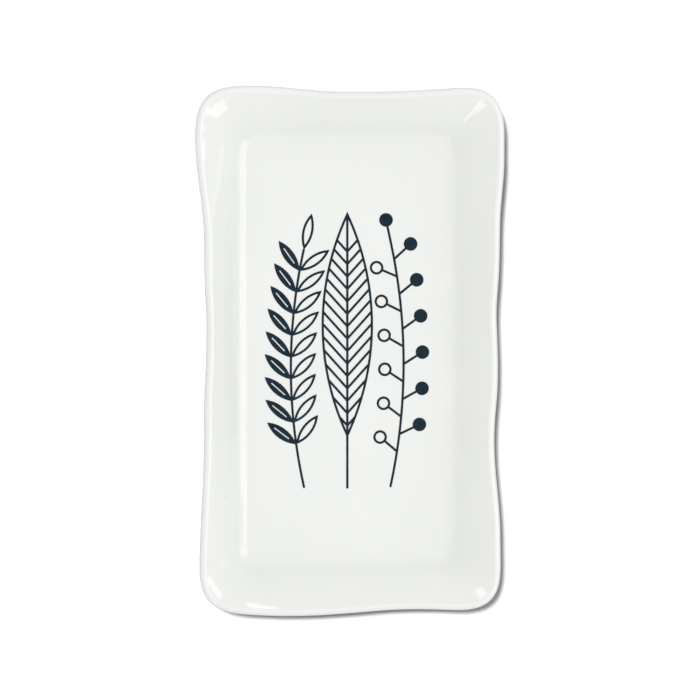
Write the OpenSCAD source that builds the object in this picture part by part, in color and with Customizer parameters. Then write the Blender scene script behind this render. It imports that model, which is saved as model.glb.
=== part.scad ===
// Rectangular stoneware plate with a hand-waved rim, a deep flat well and a printed transfer

/* [Plate] */
// Overall length, along Y
plate_length = 254; // [200:1:320]
// Overall width, along X
plate_width = 148.4; // [110:0.2:190]
// Overall height, from the table to the top of the corners
plate_height = 24; // [18:0.5:34]
// How much higher the corners of the lip stand than the middles of the sides
corner_lift = 1.5; // [0:0.1:4]

/* [Slab and glaze] */
// Thickness of the fired clay
clay_thickness = 3.8; // [2.6:0.1:6]
// Thickness of the glaze on each face
glaze_thickness = 0.4; // [0.2:0.05:0.8]
// Bare clay wiped clean of glaze beside the foot ring
glaze_wipe = 1.2; // [0.4:0.1:3]

/* [Well and wall] */
// Width of the sloping wall on the long sides, from the floor's edge to the lip's outside
side_wall_run = 26.4; // [23:0.2:34]
// Width of the sloping wall at the two ends
end_wall_run = 27.4; // [23:0.2:36]
// Corner radius of the flat floor
floor_corner = 5; // [3:0.5:24]
// Radius of the glazed fillet between the floor and the wall
floor_fillet = 8.5; // [6:0.5:14]
// Radius of the wall's outward flare, from the fillet to the lip
wall_flare = 100; // [60:5:300]

/* [Rim outline] */
// Corner radius of the rim
rim_corner = 28; // [18:0.5:36]
// Fullness of the corners: 2 is a plain arc, and higher is squarer
corner_fullness = 3.2; // [2:0.1:4]

/* [Hollows pressed into the rim: place along the side, depth, reach] */
// Left side, below the far corner
left_far_hollow = [51, 4.3, 53]; // [-130:0.1:130]
// Left side, a little beyond the middle
left_middle_hollow = [10, 3.3, 40]; // [-130:0.1:130]
// Left side, before the middle
left_near_hollow = [-33, 4.1, 73]; // [-130:0.1:130]
// Left side, at the near corner
left_corner_hollow = [-95, 1.6, 63]; // [-130:0.1:130]
// Right side, below the far corner
right_far_hollow = [60, 1.9, 32]; // [-130:0.1:130]
// Right side, a little beyond the middle
right_middle_hollow = [17, 3.5, 45]; // [-130:0.1:130]
// Right side, before the middle
right_near_hollow = [-40, 3.5, 51]; // [-130:0.1:130]
// Right side, at the near corner
right_corner_hollow = [-83, 1.5, 98]; // [-130:0.1:130]
// Far end, in the middle
far_middle_hollow = [-3, 2.8, 45]; // [-130:0.1:130]
// Far end, right of the middle
far_right_hollow = [33, 1.8, 37]; // [-130:0.1:130]
// Near end, right of the middle
near_middle_hollow = [18, 1.6, 42]; // [-130:0.1:130]
// Near end, towards the right corner
near_right_hollow = [48, 1.7, 50]; // [-130:0.1:130]
// Near end, at the left corner
near_left_hollow = [-74, 2.2, 46]; // [-130:0.1:130]

/* [Foot ring] */
// Height of the foot, from the table to the underside of the clay
foot_height = 3; // [2:0.1:6]
// Width of the foot where it joins the clay
foot_wall = 5.6; // [4:0.1:9]
// Slope of each side of the foot, measured at the table
foot_draft = 0.7; // [0:0.1:1.2]
// Chamfer on the two edges that stand on the table
foot_chamfer = 0.6; // [0.2:0.1:1]
// Gap from the edge of the flat floor in to the outside of the foot
foot_inset = 7; // [4:0.5:16]
// Outside corner radius of the foot
foot_corner = 12; // [9:0.5:20]

/* [Print] */
// Thickness of the fired ink
ink_thickness = 0.12; // [0.1:0.01:0.3]
// Width of the drawn lines
line_width = 1.1; // [0.7:0.1:1.6]
// Bare floor on each side of the print
print_side_margin = 6.8; // [4:0.2:14]
// Bare floor at each end of the print
print_end_margin = 33; // [16:0.5:48]
// Bare floor between neighbouring motifs where they are widest
motif_gap = 2.4; // [1:0.1:5]
// How far the ends of the two outer stems lean in from their middles
stem_sway = 6.4; // [2:0.1:8]
// Width of the slim leaves
slim_leaf_width = 5.2; // [3.6:0.1:7]
// Lean of the slim leaves away from the stem
slim_leaf_lean = 45; // [35:1:60]
// Distance between pairs of slim leaves along the stem
slim_leaf_pitch = 10.5; // [8:0.5:16]
// Length of the stalk under the veined leaf
veined_leaf_stalk = 24; // [12:1:40]
// Distance between the veins along the midrib
vein_pitch = 6; // [4:0.25:10]
// Bare midrib below the tip of the veined leaf, where no vein starts
vein_tip_gap = 15; // [6:1:30]
// Lean of the veins away from the midrib
vein_lean = 42; // [30:1:60]
// Diameter of the berries
berry_diameter = 6.6; // [4:0.2:9]
// Lean of the berry stalks away from the stem
berry_lean = 58; // [40:1:70]
// Distance between berries along the stem
berry_pitch = 8.5; // [6:0.25:12]

/* [Hidden] */

$fn = 180;
corner_steps = 12;
long_side_steps = 16;
short_side_steps = 8;
fillet_steps = 4;
flare_steps = 3;
lip_steps = [3, 3, 2];

clay_white = [0.93, 0.91, 0.87];
biscuit = [0.86, 0.82, 0.74];
glaze_white = [0.93, 0.94, 0.93];
ink_navy = [0.09, 0.16, 0.23];

left_hollows = [left_far_hollow, left_middle_hollow, left_near_hollow, left_corner_hollow];
right_hollows = [right_far_hollow, right_middle_hollow, right_near_hollow, right_corner_hollow];
far_hollows = [far_middle_hollow, far_right_hollow];
near_hollows = [near_middle_hollow, near_right_hollow, near_left_hollow];

slab_thickness = clay_thickness + 2 * glaze_thickness;
lip_radius = slab_thickness / 2;
floor_top = foot_height + clay_thickness + glaze_thickness;
fillet_centre = floor_top + floor_fillet;
floor_length = plate_length - 2 * end_wall_run;
floor_width = plate_width - 2 * side_wall_run;
foot_length = floor_length - 2 * foot_inset;
foot_width = floor_width - 2 * foot_inset;
foot_middle_radius = foot_corner - foot_wall / 2;
print_length = floor_length - 2 * print_end_margin;
print_column = (floor_width - 2 * print_side_margin) / 3;
motif_width = print_column - motif_gap;
slim_leaf_length = motif_width / 2 / sin(slim_leaf_lean);
slim_leaf_stem = print_length - slim_leaf_length;
berry_stalk = (motif_width - berry_diameter) / 2 / sin(berry_lean);
berry_tip = berry_stalk + berry_diameter / 2;
berry_stem = print_length - berry_tip;

// Outlines

// A quarter of a rounded corner of radius 1, as a superellipse, at angle a from 0 to 90
function corner_arc(a, fullness) = [pow(cos(a), 2 / fullness), pow(sin(a), 2 / fullness)];

// A vector turned by a number of quarter turns
function quarter_turned(v, turns) = [v, [-v.y, v.x], [-v.x, -v.y], [v.y, -v.x]][turns % 4];

// The middle of a rounded rectangle's corner, counted anticlockwise from +X +Y
function corner_middle(i, width, length, radius) =
    [[1, 1], [-1, 1], [-1, -1], [1, -1]][i % 4] * [[width / 2 - radius, 0], [0, length / 2 - radius]];

// A rounded rectangle as a ring of points that has the same count of points whatever its size
function outline(width, length, radius, fullness) = [
    for (i = [0:3])
        let (steps = i % 2 == 0 ? short_side_steps : long_side_steps)
        let (arc_end = corner_middle(i, width, length, radius) + radius * quarter_turned([0, 1], i))
        let (next = corner_middle(i + 1, width, length, radius) + radius * quarter_turned([1, 0], i + 1))
        each concat(
            [for (k = [0:corner_steps])
                corner_middle(i, width, length, radius)
                + radius * quarter_turned(corner_arc(90 * k / corner_steps, fullness), i)],
            [for (k = [1:steps - 1]) arc_end + (next - arc_end) * k / steps]
        )
];

// Depth of one hollow at place t along a side: a raised cosine, so it starts and ends smoothly
function hollow_depth(t, hollow) =
    hollow[1] * (1 + cos(180 * min(abs(t - hollow[0]) / hollow[2], 1))) / 2;

function side_depth(t, hollows) = [for (h = hollows) hollow_depth(t, h)] * [for (h = hollows) 1];

// A point of the plain rim, drawn in by the hollows of the two sides that it is nearest to
function pressed_in(p) = [
    p.x * (1 - 2 * side_depth(p.y, p.x > 0 ? right_hollows : left_hollows) / plate_width),
    p.y * (1 - 2 * side_depth(p.x, p.y > 0 ? far_hollows : near_hollows) / plate_length)
];

plain_rim = outline(plate_width, plate_length, rim_corner, corner_fullness);
pressed_rim = [for (p = plain_rim) pressed_in(p)];
pressed_x = [for (p = pressed_rim) p.x];
pressed_y = [for (p = pressed_rim) p.y];

// The pressed rim brought back to the overall length and width, and centred
rim = [
    for (p = pressed_rim) [
        (p.x - (max(pressed_x) + min(pressed_x)) / 2) * plate_width / (max(pressed_x) - min(pressed_x)),
        (p.y - (max(pressed_y) + min(pressed_y)) / 2) * plate_length / (max(pressed_y) - min(pressed_y))
    ]
];

// How near each point of the rim is to a corner, from 0 in the middle of a side to 1
corner_nearness = [for (p = plain_rim) pow(4 * p.x * p.y / (plate_width * plate_length), 2)];
rim_height = [
    for (n = corner_nearness) plate_height - corner_lift * (1 - n / max(corner_nearness))
];

floor_edge = outline(floor_width, floor_length, floor_corner, corner_fullness);
wiped_edge = outline(
    foot_width + 2 * glaze_wipe, foot_length + 2 * glaze_wipe, foot_corner + glaze_wipe, 2
);

// Section through the wall

// The section is three circles that touch: the fillet, the flare and the lip. The fillet's middle is above
// the surface, and the other two are below it.

// Tilt where the fillet ends, from the triangle of the three middles. The lip's middle is at reach from the
// floor's edge and at the given height.
function fillet_tilt(reach, height) =
    let (apart = norm([reach, height - fillet_centre]))
    let (to_fillet = wall_flare + floor_fillet)
    let (to_lip = wall_flare - lip_radius)
    90 + atan2(height - fillet_centre, reach)
    - acos((pow(apart, 2) + pow(to_fillet, 2) - pow(to_lip, 2)) / (2 * apart * to_fillet));

// Angles round the lip from the inner wall to the outer one, by way of its top and its outermost point
function lip_angles(tilt) = [
    for (k = [0:lip_steps[0] - 1]) tilt * k / lip_steps[0],
    for (k = [0:lip_steps[1] - 1]) tilt + 90 * k / lip_steps[1],
    for (k = [0:lip_steps[2]]) tilt + 90 + (90 - tilt) * k / lip_steps[2]
];

function fillet_point(radius, a) = [radius * sin(a), fillet_centre - radius * cos(a)];

// The wall's section as points of distance and height, from the floor's edge over the lip to the
// underside. It lies at the given depth inside the glazed surface, and all depths are concentric.
function wall_section(run, top, depth) =
    let (reach = run - lip_radius)
    let (height = top - lip_radius)
    let (low_tilt = fillet_tilt(reach, height))
    let (middle = fillet_point(floor_fillet + wall_flare, low_tilt))
    let (high_tilt = atan2(middle.x - reach, height - middle.y))
    let (flare_tilts = [for (k = [1:flare_steps - 1]) low_tilt + (high_tilt - low_tilt) * k / flare_steps])
    let (roll = lip_radius - depth)
    let (under = slab_thickness - depth)
    concat(
        [for (k = [0:fillet_steps]) fillet_point(floor_fillet + depth, low_tilt * k / fillet_steps)],
        [for (a = flare_tilts) middle + (wall_flare - depth) * [-sin(a), cos(a)]],
        [for (b = lip_angles(high_tilt))
            [reach - roll * sin(high_tilt - b), height + roll * cos(high_tilt - b)]],
        [for (a = reversed(flare_tilts)) middle + (wall_flare - under) * [-sin(a), cos(a)]],
        [for (k = [fillet_steps:-1:0]) fillet_point(floor_fillet + under, low_tilt * k / fillet_steps)]
    );

// The section at one point of the rim, carried into space along the line from the floor's edge
function section_at(i, depth) =
    let (run = norm(rim[i] - floor_edge[i]))
    let (outward = (rim[i] - floor_edge[i]) / run)
    [for (s = wall_section(run, rim_height[i], depth))
        [floor_edge[i].x + s[0] * outward.x, floor_edge[i].y + s[0] * outward.y, s[1]]];

// The same surface as rings, one for each point of the section
function wall_rings(depth) =
    let (sections = [for (i = [0:len(rim) - 1]) section_at(i, depth)])
    [for (j = [0:len(sections[0]) - 1]) [for (s = sections) s[j]]];

function level_ring(ring, z) = [for (p = ring) [p.x, p.y, z]];

function reversed(list) = [for (i = [len(list) - 1:-1:0]) list[i]];

// Two triangles over four corners, split along the shorter diagonal, so that two surfaces through the
// same corners always match
function quad_faces(points, a, b, c, d) =
    norm(points[a] - points[c]) < norm(points[b] - points[d])
    ? [[a, b, c], [a, c, d]]
    : [[a, b, d], [b, c, d]];

// A closed solid through a list of rings, with a level cap on the first ring and on the last one
module loft(rings) {
    count = len(rings[0]);
    last = (len(rings) - 1) * count;
    first_hub = len(rings) * count;
    last_hub = first_hub + 1;
    hubs = [[0, 0, rings[0][0].z], [0, 0, rings[len(rings) - 1][0].z]];
    points = concat([for (ring = rings) each ring], hubs);
    polyhedron(
        points = points,
        faces = [
            for (i = [0:count - 1])
                let (next = (i + 1) % count)
                each concat(
                    [[first_hub, next, i], [last_hub, last + i, last + next]],
                    [for (a = [0:count:last - 1])
                        each quad_faces(points, a + i, a + next, a + count + next, a + count + i)]
                )
        ],
        convexity = 6
    );
}

// Drawn shapes

module rounded_rectangle(width, length, radius) {
    square([width, length - 2 * radius], center = true);
    square([width - 2 * radius, length], center = true);
    for (i = [0:3])
        translate(corner_middle(i, width, length, radius)) circle(radius);
}

// A pointed leaf from the origin up to [0, length], the meeting of two circles, drawn in by inset
module leaf(length, width, inset = 0) {
    radius = (pow(length, 2) + pow(width, 2)) / (4 * width);
    intersection_for (side = [-1, 1])
        translate([side * (radius - width / 2), length / 2]) circle(radius - inset);
}

module leaf_outline(length, width) {
    difference() {
        leaf(length, width);
        leaf(length, width, line_width);
    }
}

// A filled leaf with its midrib left bare up to a short way below the tip
module filled_leaf(length, width) {
    difference() {
        leaf(length, width);
        translate([-line_width / 4, length / 4]) square([line_width / 2, length / 2]);
    }
}

// A line with round ends from the origin up to [0, length]
module stroke(length) {
    translate([-line_width / 2, 0]) square([line_width, length]);
    circle(d = line_width);
    translate([0, length]) circle(d = line_width);
}

// Radius of a stem of the given chord whose ends lean in by stem_sway
function stem_radius(chord) = pow(chord, 2) / (8 * stem_sway) + stem_sway / 2;

// Moves its children along a bowed stem, by a distance from its middle, which is at the origin.
// The bow is the stem's radius, and its sign is the side that both ends lean to.
module along_stem(distance, bow) {
    translate([bow, 0])
        rotate(-distance / bow * 180 / PI)
        translate([-bow, 0])
        children();
}

// A bowed stem with its middle at the origin
module bowed_stem(length, bow) {
    half_turn = length / abs(bow) * 90 / PI;
    intersection() {
        translate([bow, 0])
            difference() {
                circle(abs(bow) + line_width / 2);
                circle(abs(bow) - line_width / 2);
            }
        square([2 * print_column, 2 * abs(bow) * sin(half_turn)], center = true);
    }
    for (end = [-1, 1])
        along_stem(end * length / 2, bow) circle(d = line_width);
}

// Lays a drawing on the floor of the well, in one of the three columns of the print
module printed(column) {
    color(ink_navy)
        translate([column * print_column, 0, floor_top])
        linear_extrude(ink_thickness)
        children();
}

// Pieces

module clay_body() {
    color(clay_white) loft(wall_rings(glaze_thickness));
}

module glaze_coat() {
    outside = concat(wall_rings(0), [level_ring(wiped_edge, foot_height - glaze_thickness)]);
    inside = concat(wall_rings(glaze_thickness), [level_ring(wiped_edge, foot_height)]);
    color(glaze_white) loft(concat(outside, reversed(inside)));
}

// Section of the foot: drafted sides and a chamfered flat that stands on the table
module foot_profile() {
    top = foot_wall / 2;
    low = top - foot_draft;
    polygon([
        [-top, foot_height], [-low, foot_chamfer], [-low + foot_chamfer, 0],
        [low - foot_chamfer, 0], [low, foot_chamfer], [top, foot_height]
    ]);
}

module foot_ring() {
    middles = [for (i = [0:3]) corner_middle(i, foot_width, foot_length, foot_corner)];
    color(biscuit)
        for (i = [0:3])
            translate(middles[i])
                rotate(90 * i) {
                    rotate_extrude(angle = 90)
                        translate([foot_middle_radius, 0]) foot_profile();
                    translate([0, foot_middle_radius, 0])
                        rotate([90, 0, -90])
                        linear_extrude(norm(middles[(i + 1) % 4] - middles[i]))
                        foot_profile();
                }
}

module base_glaze() {
    gap = 2 * (foot_wall + glaze_wipe);
    color(glaze_white)
        translate([0, 0, foot_height - glaze_thickness])
        linear_extrude(glaze_thickness)
        rounded_rectangle(foot_width - gap, foot_length - gap, foot_corner - gap / 2);
}

// A bowed stem with pairs of slim leaves, filled on one side and drawn in outline on the other
module slim_leaf_print() {
    bow = stem_radius(slim_leaf_stem);
    pairs = floor((slim_leaf_stem - slim_leaf_length) / slim_leaf_pitch);
    printed(-1)
        translate([0, -slim_leaf_length / 2]) {
            bowed_stem(slim_leaf_stem, bow);
            along_stem(slim_leaf_stem / 2, bow) leaf_outline(slim_leaf_length, slim_leaf_width);
            for (i = [1:pairs])
                along_stem(slim_leaf_stem / 2 - i * slim_leaf_pitch, bow) {
                    rotate(slim_leaf_lean) filled_leaf(slim_leaf_length, slim_leaf_width);
                    rotate(-slim_leaf_lean) leaf_outline(slim_leaf_length, slim_leaf_width);
                }
        }
}

// One broad leaf on a stalk, with slanting veins on both sides of its midrib
module veined_leaf_print() {
    blade = print_length - veined_leaf_stalk;
    vein_length = motif_width / 2 / sin(vein_lean);
    veins = floor((blade - vein_tip_gap) / vein_pitch);
    printed(0)
        translate([0, -print_length / 2]) {
            stroke(print_length - line_width);
            translate([0, veined_leaf_stalk]) leaf_outline(blade, motif_width);
            translate([0, veined_leaf_stalk])
                intersection() {
                    leaf(blade, motif_width, line_width / 2);
                    for (i = [0:veins])
                        translate([0, i * vein_pitch]) {
                            rotate(vein_lean) stroke(vein_length);
                            rotate(-vein_lean) stroke(vein_length);
                        }
                }
        }
}

// A berry at the end of its stalk, which starts at the origin
module berry(filled) {
    stroke(berry_stalk - (berry_diameter - line_width) / 2);
    translate([0, berry_stalk])
        difference() {
            circle(d = berry_diameter);
            if (!filled)
                circle(d = berry_diameter - 2 * line_width);
        }
}

// A bowed stem with berries on alternate sides, filled on one side and drawn in outline on the other
module berry_sprig_print() {
    bow = -stem_radius(berry_stem);
    berries = floor((berry_stem - berry_stalk) / berry_pitch);
    printed(1)
        translate([0, -berry_tip / 2]) {
            bowed_stem(berry_stem, bow);
            along_stem(berry_stem / 2, bow) berry(true);
            for (i = [1:berries])
                along_stem(berry_stem / 2 - i * berry_pitch, bow)
                    rotate(i % 2 == 0 ? berry_lean : -berry_lean) berry(i % 2 != 0);
        }
}

clay_body();
foot_ring();
glaze_coat();
base_glaze();
slim_leaf_print();
veined_leaf_print();
berry_sprig_print();
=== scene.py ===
"""Looks of a rectangular stoneware plate with a hand-waved rim, built round its fixed frame."""

import math

import bpy
import numpy as np
from bpy.props import FloatProperty, FloatVectorProperty, PointerProperty
from mathutils import Matrix, Quaternion, Vector


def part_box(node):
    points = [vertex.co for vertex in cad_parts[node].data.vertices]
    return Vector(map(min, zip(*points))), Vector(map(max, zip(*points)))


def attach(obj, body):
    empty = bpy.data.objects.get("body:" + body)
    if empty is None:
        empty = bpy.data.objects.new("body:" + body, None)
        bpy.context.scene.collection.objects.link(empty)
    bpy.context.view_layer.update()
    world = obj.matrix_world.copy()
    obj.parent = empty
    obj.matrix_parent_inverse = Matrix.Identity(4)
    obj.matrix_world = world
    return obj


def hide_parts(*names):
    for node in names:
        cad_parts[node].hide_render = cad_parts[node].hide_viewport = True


bl_info = {
    "name": "Waved stoneware plate",
    "version": (1, 0, 0),
    "blender": (4, 5, 0),
    "location": "View3D > Sidebar > Plate",
    "description": "Builds a glazed rectangular plate with a hand-waved rim, and a stage to show it on",
    "category": "Add Mesh",
}

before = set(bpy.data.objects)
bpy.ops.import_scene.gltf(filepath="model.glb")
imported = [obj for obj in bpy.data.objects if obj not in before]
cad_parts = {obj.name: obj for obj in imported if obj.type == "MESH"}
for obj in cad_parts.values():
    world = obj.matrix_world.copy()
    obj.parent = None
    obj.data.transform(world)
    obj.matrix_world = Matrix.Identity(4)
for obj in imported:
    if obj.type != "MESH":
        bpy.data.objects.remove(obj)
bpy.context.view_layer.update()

BODY = "root"
PRINT_NODES = ("slim_leaf_print", "veined_leaf_print", "berry_sprig_print")

# Heights and spans that the frame holds
glaze_low, glaze_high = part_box("glaze_coat")
foot_low, foot_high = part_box("foot_ring")
base_low, base_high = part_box("base_glaze")
well_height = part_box("veined_leaf_print")[0].z

# Points along one corner, one long side and one short side of every ring, and the chords that measure
# a corner's length
CORNER_STEPS = 56
LONG_SIDE_STEPS = 104
SHORT_SIDE_STEPS = 66
CORNER_CHORDS = 4000

# Rings along the sections: floor, fillet, flared wall, three stretches of the lip, rounded edge of the
# glaze and rounded edge of the foot
FLOOR_SHARES = (0.12, 0.3, 0.5, 0.7, 0.85, 0.95)
FILLET_STEPS = 14
WALL_STEPS = 10
LIP_STEPS = (8, 12, 8)
BEAD_STEPS = 5
FOOT_EDGE_STEPS = 7

# Waves of the finger ripples: how many go round the rim, share of the ripples' height, start in radians
RIPPLE_WAVES = ((23, 1.0, 0.4), (37, 0.7, 1.9), (61, 0.5, 0.0))

# Edges that turn by more than this stay sharp
SHARP_ANGLE = math.radians(50)

# Panels that show in the glaze: lean from upright, turn from +X, height, width and roll in degrees,
# and brightness
PANEL_DISTANCE = 6.0
PANELS = (
    ("right_window", 40, 0.5, 48, 14, 0, 1.7),
    ("right_window_end", 38.5, -24.5, 40, 16.4, 18, 1.7),
    ("low_right_panel", 82.5, 1.5, 3.5, 8, 0, 0.7),
    ("near_right_panel", 57, -41, 8, 28, 0, 2.0),
    ("far_right_strip", 59.5, 19.5, 4, 39, 22.5, 2.2),
    ("near_left_panel", 49.5, -120, 7, 14, 0, 2.2),
    ("near_left_strip", 58, -117.2, 10, 6.5, 0, 2.2),
    ("near_fill", 32, -86, 26, 40, 0, 0.25),
    ("far_left_panel", 44.5, 131.5, 7, 18.4, 0, 2.4),
    ("far_lip_strip", 54.5, 76.9, 8.2, 1.6, -11.5, 3.0),
)


class PlateSizes(bpy.types.PropertyGroup):
    """Sizes of the plate's pieces. Where the frame holds a size, it is the default."""

    plate_width: FloatProperty(
        name="Width", description="Overall width, along X",
        default=glaze_high.x - glaze_low.x, unit="LENGTH")
    plate_length: FloatProperty(
        name="Length", description="Overall length, along Y",
        default=glaze_high.y - glaze_low.y, unit="LENGTH")
    plate_height: FloatProperty(
        name="Height", description="Height of the lip's corners above the table",
        default=glaze_high.z, unit="LENGTH")
    corner_lift: FloatProperty(
        name="Corner lift", description="How much higher the lip stands at the corners",
        default=0.0015, unit="LENGTH")
    well_height: FloatProperty(
        name="Well height", description="Height of the well's glazed floor above the table",
        default=well_height, unit="LENGTH")
    slab_thickness: FloatProperty(
        name="Slab", description="Thickness of the clay with the glaze on both faces",
        default=well_height - glaze_low.z, unit="LENGTH")
    glaze_thickness: FloatProperty(
        name="Glaze", description="Thickness of the glaze on each face",
        default=foot_high.z - glaze_low.z, unit="LENGTH")
    glaze_wipe: FloatProperty(
        name="Wiped band", description="Bare clay beside the foot ring",
        default=0.0012, unit="LENGTH")
    side_wall_run: FloatProperty(
        name="Side wall", description="Width of the sloping wall on the long sides",
        default=0.0264, unit="LENGTH")
    end_wall_run: FloatProperty(
        name="End wall", description="Width of the sloping wall at the two ends",
        default=0.0274, unit="LENGTH")
    floor_corner: FloatProperty(
        name="Floor corner", description="Corner radius of the flat floor",
        default=0.005, unit="LENGTH")
    floor_fillet: FloatProperty(
        name="Fillet", description="Radius between the floor and the wall",
        default=0.0085, unit="LENGTH")
    wall_flare: FloatProperty(
        name="Flare", description="Radius of the wall's outward flare, from the fillet to the lip",
        default=0.100, unit="LENGTH")
    rim_corner: FloatProperty(
        name="Rim corner", description="Corner radius of the rim",
        default=0.028, unit="LENGTH")
    corner_fullness: FloatProperty(
        name="Fullness", description="Power of the corners: 2 is an arc, and higher is squarer",
        default=3.2)
    left_hollows: FloatVectorProperty(
        name="Left hollows", description="Place, depth and reach of each hollow of the left side",
        size=12, unit="LENGTH", precision=4,
        default=(0.051, 0.0043, 0.053, 0.010, 0.0033, 0.040,
                 -0.033, 0.0041, 0.073, -0.095, 0.0016, 0.063))
    right_hollows: FloatVectorProperty(
        name="Right hollows", description="Place, depth and reach of each hollow of the right side",
        size=12, unit="LENGTH", precision=4,
        default=(0.060, 0.0019, 0.032, 0.017, 0.0035, 0.045,
                 -0.040, 0.0035, 0.051, -0.083, 0.0015, 0.098))
    far_hollows: FloatVectorProperty(
        name="Far hollows", description="Place, depth and reach of each hollow of the far end",
        size=6, unit="LENGTH", precision=4,
        default=(-0.003, 0.0028, 0.045, 0.033, 0.0018, 0.037))
    near_hollows: FloatVectorProperty(
        name="Near hollows", description="Place, depth and reach of each hollow of the near end",
        size=9, unit="LENGTH", precision=4,
        default=(0.018, 0.0016, 0.042, 0.048, 0.0017, 0.050, -0.074, 0.0022, 0.046))
    wall_ripple: FloatProperty(
        name="Wall ripple", description="Height of the finger ripples on the inner wall",
        default=0.00004, unit="LENGTH", precision=5)
    foot_wall: FloatProperty(
        name="Foot wall", description="Width of the foot where it joins the clay",
        default=0.0056, unit="LENGTH")
    foot_draft: FloatProperty(
        name="Foot draft", description="Slope of each side of the foot, measured at the table",
        default=0.0007, unit="LENGTH")
    foot_round: FloatProperty(
        name="Foot rounding", description="Radius of the two edges that stand on the table",
        default=0.0009, unit="LENGTH")
    foot_corner: FloatProperty(
        name="Foot corner", description="Outside corner radius of the foot",
        default=0.012, unit="LENGTH")


class PlateFinish(bpy.types.PropertyGroup):
    """Colours of the plate's finishes and of the stage."""

    glaze: FloatVectorProperty(
        name="Glaze", description="White glaze", subtype="COLOR", size=4,
        default=(0.863, 0.877, 0.854, 1.0))
    glaze_shade: FloatVectorProperty(
        name="Thin glaze", description="White glaze where it lies thinner", subtype="COLOR", size=4,
        default=(0.843, 0.858, 0.834, 1.0))
    pinhole: FloatVectorProperty(
        name="Pinhole", description="Clay at the bottom of a pinhole in the glaze",
        subtype="COLOR", size=4, default=(0.42, 0.40, 0.36, 1.0))
    clay: FloatVectorProperty(
        name="Clay", description="Bare fired clay", subtype="COLOR", size=4,
        default=(0.70, 0.63, 0.52, 1.0))
    clay_shade: FloatVectorProperty(
        name="Toasted clay", description="Bare clay where the kiln toasted it",
        subtype="COLOR", size=4, default=(0.58, 0.49, 0.37, 1.0))
    clay_speck: FloatVectorProperty(
        name="Clay speck", description="Iron specks in the clay", subtype="COLOR", size=4,
        default=(0.20, 0.15, 0.10, 1.0))
    ink: FloatVectorProperty(
        name="Ink", description="Navy ink where it lies thick", subtype="COLOR", size=4,
        default=(0.008, 0.019, 0.030, 1.0))
    ink_thin: FloatVectorProperty(
        name="Thin ink", description="Navy ink where it lies thin", subtype="COLOR", size=4,
        default=(0.014, 0.032, 0.049, 1.0))
    table: FloatVectorProperty(
        name="Table", description="Pale floor of the stage", subtype="COLOR", size=4,
        default=(0.30, 0.30, 0.30, 1.0))
    table_bounce: FloatVectorProperty(
        name="Table bounce", description="Floor of the stage as it lights the plate", subtype="COLOR",
        size=4, default=(0.15, 0.15, 0.15, 1.0))


class PlateStage(bpy.types.PropertyGroup):
    """Camera, light and table of the stage."""

    lens: FloatProperty(
        name="Lens", description="Focal length of the camera in millimetres", default=200.0)
    view_height: FloatProperty(
        name="View height", description="Height of the picture at the rim",
        default=0.3349, unit="LENGTH")
    lean_left: FloatProperty(
        name="Lean left", description="Angle of the camera from upright towards the left",
        default=math.radians(6.0), subtype="ANGLE")
    lean_far: FloatProperty(
        name="Lean far", description="Angle of the camera from upright towards the far end",
        default=math.radians(3.5), subtype="ANGLE")
    aim: FloatVectorProperty(
        name="Aim", description="Point that the camera looks at", size=3, unit="LENGTH",
        subtype="TRANSLATION", default=(-0.00025, 0.00085, 0.022))
    sky_top: FloatProperty(
        name="Sky overhead", description="Brightness of the soft light from straight above", default=1.10)
    sky_low: FloatProperty(
        name="Sky low", description="Brightness of the soft light from the horizon", default=0.955)
    horizon: FloatProperty(
        name="Horizon", description="Share of the soft light that is left at the horizon itself",
        default=0.45)
    horizon_top: FloatProperty(
        name="Horizon top", description="Sine of the height above which the soft light isn't dimmed",
        default=0.13)
    sky_right: FloatProperty(
        name="Sky right", description="How much brighter the soft light is on the right", default=0.11)
    table_light: FloatProperty(
        name="Table light", description="Strength of the light that falls on the table alone",
        default=10.0)
    table_light_width: FloatProperty(
        name="Table light width", description="Angle that the table's light spans, to soften the shadow",
        default=math.radians(7), subtype="ANGLE")
    table_light_from: FloatVectorProperty(
        name="Table light from", description="Direction that the table's light comes from",
        size=3, subtype="XYZ", default=(-0.232, 0.215, 1.0))
    table_reach: FloatProperty(
        name="Table reach", description="Distance from the middle of the table to its edges",
        default=4.0, unit="LENGTH")
    table_fade: FloatProperty(
        name="Table fade", description="Distance from the middle at which the table starts to fade out",
        default=1.5, unit="LENGTH")


# Rings round the plate

def corner_arc(angle, fullness):
    """A quarter of a superellipse of radius 1: cosine and sine of the angle, each to the power
    2/fullness."""
    return np.stack([np.cos(angle), np.sin(angle)], -1) ** (2 / fullness)


def even_angles(fullness):
    """Angles at which the points of a corner arc lie evenly along it, by its summed chord lengths."""
    fine = np.linspace(0, np.pi / 2, CORNER_CHORDS + 1)
    chords = np.linalg.norm(np.diff(corner_arc(fine, fullness), axis=0), axis=1)
    along = np.concatenate([[0], np.cumsum(chords)])
    return np.interp(np.linspace(0, along[-1], CORNER_STEPS + 1), along, fine)


def outline(width, length, radius, fullness):
    """A rounded rectangle as a ring of points, anticlockwise from its +X side's far end. Each corner is
    a corner arc of the radius about a point set in by the radius, and each side is evenly spaced."""
    arc = corner_arc(even_angles(fullness), fullness) * radius
    quarter = np.array([width / 2 - radius, length / 2 - radius]) + arc
    corners = [
        quarter, quarter[::-1] * [-1, 1], quarter * [-1, -1], quarter[::-1] * [1, -1],
    ]
    ring = []
    for i, corner in enumerate(corners):
        steps = SHORT_SIDE_STEPS if i % 2 == 0 else LONG_SIDE_STEPS
        share = np.arange(1, steps)[:, None] / steps
        ring += [corner, corner[-1] + (corners[(i + 1) % 4][0] - corner[-1]) * share]
    return np.concatenate(ring)


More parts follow.
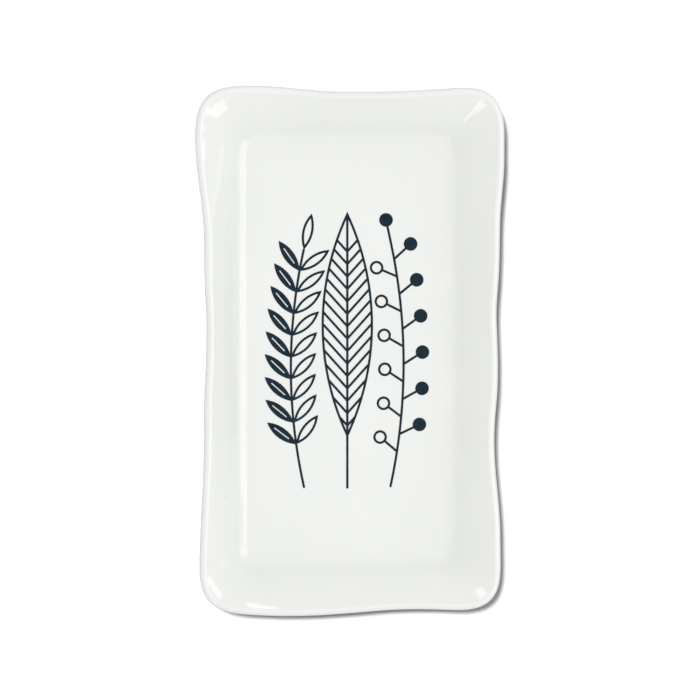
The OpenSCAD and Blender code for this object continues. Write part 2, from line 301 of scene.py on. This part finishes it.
def pressed_depth(along, hollows):
    """Depth of a side's hollows at places along it: the sum of raised cosines, each of a place, a depth
    and a reach on both sides of the place."""
    place, depth, reach = np.array(hollows).reshape(-1, 3).T
    share = np.minimum(np.abs(along[:, None] - place) / reach, 1)
    return (depth * (1 + np.cos(np.pi * share)) / 2).sum(1)


def rim_ring(sizes):
    """Outermost line of the lip with its height: a rounded rectangle whose points are drawn in towards
    the middle lines by the hollows, brought back to the overall size. It rises to the corners with the
    square of the product of x and y."""
    plain = outline(sizes.plate_width, sizes.plate_length, sizes.rim_corner, sizes.corner_fullness)
    x, y = plain.T
    side = np.where(x > 0, pressed_depth(y, sizes.right_hollows), pressed_depth(y, sizes.left_hollows))
    end = np.where(y > 0, pressed_depth(x, sizes.far_hollows), pressed_depth(x, sizes.near_hollows))
    whole = np.array([sizes.plate_width, sizes.plate_length])
    pressed = plain * (1 - 2 * np.stack([side, end], -1) / whole)
    low, high = pressed.min(0), pressed.max(0)
    ring = (pressed - (low + high) / 2) * whole / (high - low)
    nearness = (x * y) ** 2
    height = sizes.plate_height - sizes.corner_lift * (1 - nearness / nearness.max())
    return ring, height


def level(ring, height):
    """A flat ring at one height."""
    return np.column_stack([ring, np.full(len(ring), height)])


def floor_rings(edge, height):
    """Rings on the flat floor, as shares of its edge, from the middle outwards."""
    return np.stack([level(edge * share, height) for share in FLOOR_SHARES])


# Section of the wall

def wall_rings(sizes, depth, ripple=0.0):
    """Rings from the floor's edge up the fillet and the flared wall, over the lip and down the outside to
    the floor's edge again, at a depth inside the glazed surface. Each section is three circles that touch:
    the fillet, whose middle is above the surface, and the flare and the lip, whose middles are below it.
    The three middles make a triangle with sides fillet + flare and flare - lip, so the law of cosines gives
    the tilt where the fillet ends and where the lip starts. All depths are concentric.
    The ripple lifts the inner wall by three sine waves in the length along the rim, which fade out at the
    fillet and at the lip with the square of a sine."""
    rim, top = rim_ring(sizes)
    edge = floor_edge(sizes)
    across = rim - edge
    run = np.linalg.norm(across, axis=1)
    lip, flare, fillet = sizes.slab_thickness / 2, sizes.wall_flare, sizes.floor_fillet
    reach = run - lip
    climb = top - lip - sizes.well_height - fillet
    apart = np.hypot(reach, climb)
    corner = np.arccos((apart ** 2 + (flare + fillet) ** 2 - (flare - lip) ** 2)
                       / (2 * apart * (flare + fillet)))
    foot_tilt = np.pi / 2 + np.arctan2(climb, reach) - corner
    flare_middle = (flare + fillet) * np.stack([np.sin(foot_tilt), -np.cos(foot_tilt)], -1)
    lip_middle = np.stack([reach, climb], -1)
    lip_tilt = np.arctan2(*(lip_middle - flare_middle).T * [[-1], [1]])

    def arc(middle, radius, start, stop, steps):
        tilt = start + (stop - start) * np.linspace(0, 1, steps, endpoint=False)[:, None]
        return middle + radius * np.stack([-np.sin(tilt), np.cos(tilt)], -1)

    level_tilt, half = np.zeros_like(reach), np.pi / 2
    under = sizes.slab_thickness - depth
    inner = np.concatenate([
        arc(0, -fillet - depth, level_tilt, foot_tilt, FILLET_STEPS),
        arc(flare_middle, flare - depth, foot_tilt, lip_tilt, WALL_STEPS)])
    over = np.concatenate([
        arc(lip_middle, lip - depth, lip_tilt, level_tilt, LIP_STEPS[0]),
        arc(lip_middle, lip - depth, level_tilt, level_tilt - half, LIP_STEPS[1]),
        arc(lip_middle, lip - depth, level_tilt - half, lip_tilt - np.pi, LIP_STEPS[2])])
    outer = np.concatenate([
        arc(flare_middle, flare - under, lip_tilt, foot_tilt, WALL_STEPS),
        arc(0, -fillet - under, foot_tilt, level_tilt, FILLET_STEPS),
        arc(0, -fillet - under, level_tilt, level_tilt, 1)])
    if ripple:
        steps = np.linalg.norm(np.roll(rim, -1, axis=0) - rim, axis=1)
        station = 2 * np.pi * (np.cumsum(steps) - steps) / steps.sum()
        waves = sum(share * np.sin(count * station + start) for count, share, start in RIPPLE_WAVES)
        fade = np.sin(np.pi * np.linspace(0, 1, WALL_STEPS, endpoint=False)) ** 2
        lift = ripple * np.concatenate([np.zeros(FILLET_STEPS), fade])[:, None] * waves
        inner = inner + lift[..., None] * np.stack([-np.sin(foot_tilt), np.cos(foot_tilt)], -1)
    section = np.concatenate([inner, over, outer])
    flat = edge + section[..., :1] * (across / run[:, None])
    return np.concatenate([flat, section[..., 1:] + sizes.well_height + fillet], -1)


def floor_edge(sizes):
    """Edge of the flat floor, where the fillet starts."""
    return outline(sizes.plate_width - 2 * sizes.side_wall_run,
                   sizes.plate_length - 2 * sizes.end_wall_run,
                   sizes.floor_corner, sizes.corner_fullness)


def foot_outline(sizes, out):
    """The outside of the foot ring, moved outwards by a distance."""
    span = foot_high - foot_low
    return outline(span.x + 2 * out, span.y + 2 * out, sizes.foot_corner + out, 2)


# Meshes

def new_piece(name, points, faces, material, replaced):
    """Makes a smooth piece that rides on the plate, has a finish and stands for one node of the frame."""
    mesh = bpy.data.meshes.new(name)
    mesh.from_pydata(points.tolist(), [], faces)
    mesh.polygons.foreach_set("use_smooth", np.ones(len(mesh.polygons), bool))
    mesh.set_sharp_from_angle(angle=SHARP_ANGLE)
    if mesh.validate():
        raise RuntimeError(f"{name} has faces that don't fit together")
    mesh.materials.append(material)
    piece = bpy.data.objects.new(name, mesh)
    bpy.context.scene.collection.objects.link(piece)
    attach(piece, BODY)
    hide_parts(replaced)


def loft(rings):
    """Points and faces of a solid through a stack of rings: four-sided faces between neighbours, and a
    fan from the middle of the first ring and of the last one. The first ring faces up."""
    count, around = rings.shape[:2]
    here = np.arange(count * around).reshape(count, around)
    there = np.roll(here, -1, axis=1)
    sides = np.stack([here[:-1], here[1:], there[1:], there[:-1]], -1).reshape(-1, 4)
    first = np.full(around, count * around)
    top = np.stack([first, here[0], there[0]], -1)
    bottom = np.stack([first + 1, there[-1], here[-1]], -1)
    hubs = np.array([[0, 0, rings[0, 0, 2]], [0, 0, rings[-1, 0, 2]]])
    points = np.concatenate([rings.reshape(-1, 3), hubs])
    return points, sides.tolist() + top.tolist() + bottom.tolist()


def swept_ring(path, normals, profile):
    """Points and faces of a closed profile of offsets and heights, carried round a closed path along the
    path's own outward normals."""
    flat = path + profile[:, None, :1] * normals
    rings = np.concatenate([flat, np.broadcast_to(profile[:, None, 1:], flat.shape[:2] + (1,))], -1)
    count, around = rings.shape[:2]
    here = np.arange(count * around).reshape(count, around)
    up = np.roll(here, -1, axis=0)
    faces = np.stack([here, np.roll(here, -1, axis=1), np.roll(up, -1, axis=1), up], -1)
    return rings.reshape(-1, 3), faces.reshape(-1, 4).tolist()


def outward_normals(ring):
    """Unit normals of an anticlockwise ring: its central differences turned clockwise."""
    along = np.roll(ring, -1, axis=0) - np.roll(ring, 1, axis=0)
    normal = np.stack([along[:, 1], -along[:, 0]], -1)
    return normal / np.linalg.norm(normal, axis=1)[:, None]


# Finishes

def add_node(tree, kind, settings=None, **inputs):
    """Adds a shader node with its own settings, and gives each named input a value or a link."""
    made = tree.nodes.new(kind)
    for name, value in (settings or {}).items():
        setattr(made, name, value)
    for name, value in inputs.items():
        socket = made.inputs[name.replace("_", " ")]
        if isinstance(value, bpy.types.NodeSocket):
            tree.links.new(value, socket)
        else:
            socket.default_value = value
    return made


def new_material(name):
    """An empty node material with its output, and the node that gives object coordinates."""
    material = bpy.data.materials.new(name)
    material.use_nodes = True
    tree = material.node_tree
    tree.nodes.clear()
    output = add_node(tree, "ShaderNodeOutputMaterial")
    place = add_node(tree, "ShaderNodeTexCoord").outputs["Object"]
    return material, tree, output, place


def noise(tree, place, scale, detail=2.0):
    """Smooth noise of so many features a metre, from 0 to 1."""
    return add_node(tree, "ShaderNodeTexNoise", Vector=place, Scale=scale, Detail=detail).outputs["Fac"]


def ranged(tree, value, low, high, start=0.3, end=0.7):
    """A value from start to end, stretched to run from low to high and held there."""
    return add_node(tree, "ShaderNodeMapRange", Value=value, From_Min=start, From_Max=end,
                    To_Min=low, To_Max=high).outputs["Result"]


def blended(tree, share, first, second):
    """One colour, or a linked one, turning into another by a share from 0 to 1."""
    mix = add_node(tree, "ShaderNodeMix", {"data_type": "RGBA"})
    tree.links.new(share, mix.inputs["Factor"])
    for socket, colour in (("A", first), ("B", second)):
        target = next(s for s in mix.inputs if s.name == socket and s.type == "RGBA")
        if isinstance(colour, bpy.types.NodeSocket):
            tree.links.new(colour, target)
        else:
            target.default_value = colour
    return next(s for s in mix.outputs if s.type == "RGBA")


def specks(tree, place, scale, core, edge):
    """Spots in cells of so many a metre: 1 in the core of each one, falling to 0 at its edge."""
    cells = add_node(tree, "ShaderNodeTexVoronoi", Vector=place, Scale=scale)
    return ranged(tree, cells.outputs["Distance"], low=1.0, high=0.0, start=core, end=edge)


def bumped(tree, height, strength, distance, **normal):
    """Surface normal tilted by a height, on top of another normal where one is given."""
    return add_node(tree, "ShaderNodeBump", Height=height, Strength=strength, Distance=distance,
                    **normal).outputs["Normal"]


def add_surface(tree, output, **inputs):
    """Adds the shader of a finish and joins it to the output."""
    shader = add_node(tree, "ShaderNodeBsdfPrincipled", **inputs)
    tree.links.new(shader.outputs["BSDF"], output.inputs["Surface"])


def mixed_shader(tree, share, first, second):
    """One shader turning into another by a share from 0 to 1."""
    mix = add_node(tree, "ShaderNodeMixShader", Fac=share)
    tree.links.new(first, mix.inputs[1])
    tree.links.new(second, mix.inputs[2])
    return mix.outputs["Shader"]


def worked_out(tree, operation, first, second):
    """Sum or product of two linked values."""
    made = add_node(tree, "ShaderNodeMath", {"operation": operation})
    tree.links.new(first, made.inputs[0])
    tree.links.new(second, made.inputs[1])
    return made.outputs["Value"]


def glaze_material(finish):
    """Glossy white glaze: faint cloudy shading, slow waves in its surface and a few pinholes."""
    material, tree, output, place = new_material("gloss_glaze_finish")
    cloud = ranged(tree, noise(tree, place, scale=22.0, detail=3.0), low=0.0, high=1.0)
    tone = blended(tree, cloud, finish.glaze_shade, finish.glaze)
    pinholes = specks(tree, place, scale=34.0, core=0.006, edge=0.012)
    colour = blended(tree, pinholes, tone, finish.pinhole)
    rough = ranged(tree, noise(tree, place, scale=60.0), low=0.02, high=0.04)
    waves = noise(tree, place, scale=45.0, detail=1.0)
    slow = bumped(tree, waves, strength=0.15, distance=0.0006)
    peel = noise(tree, place, scale=420.0, detail=1.0)
    fine = bumped(tree, peel, strength=0.03, distance=0.0001, Normal=slow)
    add_surface(tree, output, Base_Color=colour, Roughness=rough, IOR=1.55, Normal=fine)
    return material


def clay_material(finish):
    """Bare fired clay: toasted patches, iron specks and a dry, sandy grain."""
    material, tree, output, place = new_material("fired_clay_finish")
    toast = ranged(tree, noise(tree, place, scale=60.0, detail=4.0), low=0.0, high=1.0)
    tone = blended(tree, toast, finish.clay, finish.clay_shade)
    iron = specks(tree, place, scale=650.0, core=0.10, edge=0.22)
    colour = blended(tree, iron, tone, finish.clay_speck)
    rough = ranged(tree, noise(tree, place, scale=900.0), low=0.78, high=0.95)
    grain = noise(tree, place, scale=1800.0, detail=4.0)
    sandy = bumped(tree, grain, strength=0.5, distance=0.0002)
    add_surface(tree, output, Base_Color=colour, Roughness=rough, Normal=sandy)
    return material


def ink_material(finish):
    """Navy ink fired into the glaze: a little thinner in patches, smooth and much less glossy."""
    material, tree, output, place = new_material("print_ink_finish")
    thin = ranged(tree, noise(tree, place, scale=260.0, detail=3.0), low=0.0, high=1.0)
    colour = blended(tree, thin, finish.ink, finish.ink_thin)
    rough = ranged(tree, noise(tree, place, scale=700.0), low=0.16, high=0.28)
    uneven = bumped(tree, noise(tree, place, scale=900.0), strength=0.1, distance=0.0001)
    add_surface(tree, output, Base_Color=colour, Roughness=rough, Specular_IOR_Level=0.06, Normal=uneven)
    return material


def finish_of(name, make):
    """A finish by its name, made the first time that a piece asks for it."""
    return bpy.data.materials.get(name) or make(bpy.context.scene.plate_finish)


# Operators

class PLATE_OT_clay_body(bpy.types.Operator):
    """Lofts the clay slab under the glaze"""

    bl_idname = "plate.clay_body"
    bl_label = "Clay body"

    def execute(self, context):
        sizes = context.scene.plate_sizes
        skin = wall_rings(sizes, sizes.glaze_thickness)
        edge = floor_edge(sizes)
        top = floor_rings(edge, skin[0, 0, 2])
        under = floor_rings(edge, skin[-1, 0, 2])[::-1]
        points, faces = loft(np.concatenate([top, skin, under]))
        new_piece("clay_plate_body", points, faces, finish_of("fired_clay_finish", clay_material),
                  "clay_body")
        return {"FINISHED"}


class PLATE_OT_glaze_coat(bpy.types.Operator):
    """Lofts the glaze over the well, the rim and the outside, down to a rounded edge beside the foot"""

    bl_idname = "plate.glaze_coat"
    bl_label = "Glaze coat"

    def execute(self, context):
        sizes = context.scene.plate_sizes
        glaze = sizes.glaze_thickness
        outside = wall_rings(sizes, 0.0, sizes.wall_ripple)
        inside = wall_rings(sizes, glaze)
        edge = floor_edge(sizes)
        turn = np.linspace(0, np.pi / 2, BEAD_STEPS)
        bead = np.stack([
            level(foot_outline(sizes, sizes.glaze_wipe + glaze * (1 - math.sin(a))),
                  inside[-1, 0, 2] - glaze * math.cos(a))
            for a in turn])
        points, faces = loft(np.concatenate([
            floor_rings(edge, outside[0, 0, 2]), outside, bead,
            inside[::-1], floor_rings(edge, inside[0, 0, 2])[::-1]]))
        new_piece("white_glaze_coat", points, faces, finish_of("gloss_glaze_finish", glaze_material),
                  "glaze_coat")
        return {"FINISHED"}


class PLATE_OT_foot_ring(bpy.types.Operator):
    """Sweeps the bare foot ring, with drafted sides and rounded lower edges"""

    bl_idname = "plate.foot_ring"
    bl_label = "Foot ring"

    def execute(self, context):
        sizes = context.scene.plate_sizes
        top = sizes.foot_wall / 2
        low = top - sizes.foot_draft
        path = foot_outline(sizes, -top)
        turn = np.linspace(0, np.pi / 2, FOOT_EDGE_STEPS)
        right = np.stack([low - sizes.foot_round * (1 - np.sin(turn)),
                          sizes.foot_round * (1 - np.cos(turn))], -1)
        profile = np.concatenate([
            [[-top, foot_high.z]], (right * [-1, 1])[::-1], right, [[top, foot_high.z]]])
        points, faces = swept_ring(path, outward_normals(path), profile)
        new_piece("bare_foot_ring", points, faces, finish_of("fired_clay_finish", clay_material),
                  "foot_ring")
        return {"FINISHED"}


class PLATE_OT_base_glaze(bpy.types.Operator):
    """Lays the glaze panel inside the foot ring, with a rounded edge"""

    bl_idname = "plate.base_glaze"
    bl_label = "Base glaze"

    def execute(self, context):
        sizes = context.scene.plate_sizes
        span = base_high - base_low
        glaze = span.z
        gap = sizes.foot_wall + sizes.glaze_wipe

        def panel(inset, height):
            return level(outline(span.x - 2 * inset, span.y - 2 * inset,
                                 sizes.foot_corner - gap - inset, 2), height)

        turn = np.linspace(0, np.pi / 2, BEAD_STEPS)
        edge = [panel(glaze * (1 - math.cos(a)), base_high.z - glaze * math.sin(a)) for a in turn]
        flat = outline(span.x, span.y, sizes.foot_corner - gap, 2)
        under = floor_rings(edge[-1][:, :2], base_low.z)[::-1]
        points, faces = loft(np.concatenate([floor_rings(flat, base_high.z), edge, under]))
        new_piece("base_glaze_panel", points, faces, finish_of("gloss_glaze_finish", glaze_material),
                  "base_glaze")
        return {"FINISHED"}


class PLATE_OT_prints(bpy.types.Operator):
    """Gives the three printed sprigs their ink"""

    bl_idname = "plate.prints"
    bl_label = "Prints"

    def execute(self, context):
        ink = finish_of("print_ink_finish", ink_material)
        for name in PRINT_NODES:
            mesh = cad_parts[name].data
            mesh.materials.clear()
            mesh.materials.append(ink)
        return {"FINISHED"}


def add_panel(name, lean, turn, height, width, roll, brightness):
    """A flat lamp far off that faces the plate and shows only as a reflection in the glaze. It leans from
    upright by one angle towards a turn counted from +X, spans the angles of its height and width, and is
    rolled about the line from the plate to its middle. Its power is its brightness times its area times
    pi."""
    lean, turn, height, width, roll = np.radians([lean, turn, height, width, roll])
    data = bpy.data.lights.new(name, "AREA")
    data.shape = "RECTANGLE"
    data.size = 2 * PANEL_DISTANCE * math.tan(width / 2)
    data.size_y = 2 * PANEL_DISTANCE * math.tan(height / 2)
    data.energy = brightness * math.pi * data.size * data.size_y
    lamp = bpy.data.objects.new(name, data)
    bpy.context.scene.collection.objects.link(lamp)
    towards = Vector((math.sin(lean) * math.cos(turn), math.sin(lean) * math.sin(turn), math.cos(lean)))
    lamp.location = towards * PANEL_DISTANCE
    facing = towards.to_track_quat("Z", "Y") @ Quaternion((0, 0, 1), roll)
    lamp.rotation_euler = facing.to_euler()
    lamp.visible_camera = False
    lamp.visible_diffuse = False


class PLATE_OT_stage(bpy.types.Operator):
    """Sets up the pale table, the studio light and the camera"""

    bl_idname = "plate.stage"
    bl_label = "Stage"

    def execute(self, context):
        scene = context.scene
        stage = scene.plate_stage
        scene.view_settings.view_transform = "Standard"
        table = self.add_table(scene, stage)
        self.add_sky(scene, stage)
        for panel in PANELS:
            add_panel(*panel)
        self.add_table_lamp(scene, stage, table)
        self.add_camera(scene, stage)
        return {"FINISHED"}

    def add_table(self, scene, stage):
        """A flat square under the plate, paler to the camera than in what it bounces. It turns clear
        with the distance from its middle."""
        half = stage.table_reach
        mesh = bpy.data.meshes.new("table")
        corners = [(-half, -half, 0), (half, -half, 0), (half, half, 0), (-half, half, 0)]
        mesh.from_pydata(corners, [], [(0, 1, 2, 3)])
        material, tree, output, place = new_material("pale_table")
        finish = scene.plate_finish
        seen = add_node(tree, "ShaderNodeBsdfDiffuse", Color=finish.table).outputs["BSDF"]
        bounced = add_node(tree, "ShaderNodeBsdfDiffuse", Color=finish.table_bounce).outputs["BSDF"]
        path = add_node(tree, "ShaderNodeLightPath")
        mixed = mixed_shader(tree, path.outputs["Is Camera Ray"], bounced, seen)
        away = add_node(tree, "ShaderNodeVectorMath", {"operation": "LENGTH"})
        tree.links.new(place, away.inputs[0])
        fade = ranged(tree, away.outputs["Value"], low=0.0, high=1.0, start=stage.table_fade, end=half)
        clear = add_node(tree, "ShaderNodeBsdfTransparent")
        faded = mixed_shader(tree, fade, mixed, clear.outputs["BSDF"])
        tree.links.new(faded, output.inputs["Surface"])
        mesh.materials.append(material)
        table = bpy.data.objects.new("table", mesh)
        scene.collection.objects.link(table)
        return table

    def add_sky(self, scene, stage):
        """Soft light that rises from low to overhead with the square of the height's sine, leans to the
        right and dims at the horizon. The camera sees plain white in its place."""
        world = bpy.data.worlds.new("studio")
        world.use_nodes = True
        scene.world = world
        tree = world.node_tree
        tree.nodes.clear()
        place = add_node(tree, "ShaderNodeTexCoord").outputs["Generated"]
        towards = add_node(tree, "ShaderNodeSeparateXYZ", Vector=place).outputs
        square = worked_out(tree, "MULTIPLY", towards["Z"], towards["Z"])
        rise = ranged(tree, square, stage.sky_low, stage.sky_top, start=0.0, end=1.0)
        lean = ranged(tree, towards["X"], -stage.sky_right, stage.sky_right, start=-1.0, end=1.0)
        dip = ranged(tree, towards["Z"], stage.horizon, 1.0, start=0.0, end=stage.horizon_top)
        strength = worked_out(tree, "MULTIPLY", worked_out(tree, "ADD", rise, lean), dip)
        white = (1.0, 1.0, 1.0, 1.0)
        sky = add_node(tree, "ShaderNodeBackground", Color=white, Strength=strength).outputs["Background"]
        plain = add_node(tree, "ShaderNodeBackground", Color=white, Strength=1.0).outputs["Background"]
        path = add_node(tree, "ShaderNodeLightPath")
        seen = mixed_shader(tree, path.outputs["Is Camera Ray"], sky, plain)
        add_node(tree, "ShaderNodeOutputWorld", Surface=seen)

    def add_table_lamp(self, scene, stage, table):
        """A sun that lights the table alone, so that the plate's shadow falls on it."""
        data = bpy.data.lights.new("table_lamp", "SUN")
        data.energy = stage.table_light
        data.angle = stage.table_light_width
        lamp = bpy.data.objects.new("table_lamp", data)
        scene.collection.objects.link(lamp)
        towards = Vector(stage.table_light_from).normalized()
        lamp.rotation_euler = towards.to_track_quat("Z", "Y").to_euler()
        lit = bpy.data.collections.new("lit_by_table_lamp")
        lit.objects.link(table)
        lamp.light_linking.receiver_collection = lit

    def add_camera(self, scene, stage):
        """A camera that leans from upright to the left and the far end, at the distance where the picture
        is as high as the view height at the point it looks at."""
        data = bpy.data.cameras.new("camera")
        data.lens = stage.lens
        camera = bpy.data.objects.new("camera", data)
        scene.collection.objects.link(camera)
        distance = stage.view_height * stage.lens / data.sensor_width
        back = Vector((-math.tan(stage.lean_left), math.tan(stage.lean_far), 1.0)).normalized()
        right = Vector((0, 1, 0)).cross(back).normalized()
        turned = Matrix((right, back.cross(right), back)).transposed()
        camera.rotation_euler = turned.to_euler()
        camera.location = Vector(stage.aim) + back * distance
        scene.camera = camera


class PLATE_PT_panel(bpy.types.Panel):
    """Sizes, finishes and steps of the plate"""

    bl_idname = "PLATE_PT_panel"
    bl_label = "Waved plate"
    bl_space_type = "VIEW_3D"
    bl_region_type = "UI"
    bl_category = "Plate"

    def draw(self, context):
        for group in ("plate_sizes", "plate_finish", "plate_stage"):
            box = self.layout.box()
            settings = getattr(context.scene, group)
            for name in settings.__annotations__:
                box.prop(settings, name)
        for operator in OPERATORS:
            self.layout.operator(operator.bl_idname)


GROUPS = {"plate_sizes": PlateSizes, "plate_finish": PlateFinish, "plate_stage": PlateStage}
OPERATORS = (
    PLATE_OT_clay_body, PLATE_OT_glaze_coat, PLATE_OT_foot_ring,
    PLATE_OT_base_glaze, PLATE_OT_prints, PLATE_OT_stage,
)


def register():
    for name, group in GROUPS.items():
        bpy.utils.register_class(group)
        setattr(bpy.types.Scene, name, PointerProperty(type=group))
    for made in (*OPERATORS, PLATE_PT_panel):
        bpy.utils.register_class(made)


def unregister():
    for made in (PLATE_PT_panel, *reversed(OPERATORS)):
        bpy.utils.unregister_class(made)
    for name, group in reversed(GROUPS.items()):
        delattr(bpy.types.Scene, name)
        bpy.utils.unregister_class(group)


def main():
    register()
    bpy.ops.plate.clay_body()
    bpy.ops.plate.glaze_coat()
    bpy.ops.plate.foot_ring()
    bpy.ops.plate.base_glaze()
    bpy.ops.plate.prints()
    bpy.ops.plate.stage()


if __name__ == "__main__":
    main()
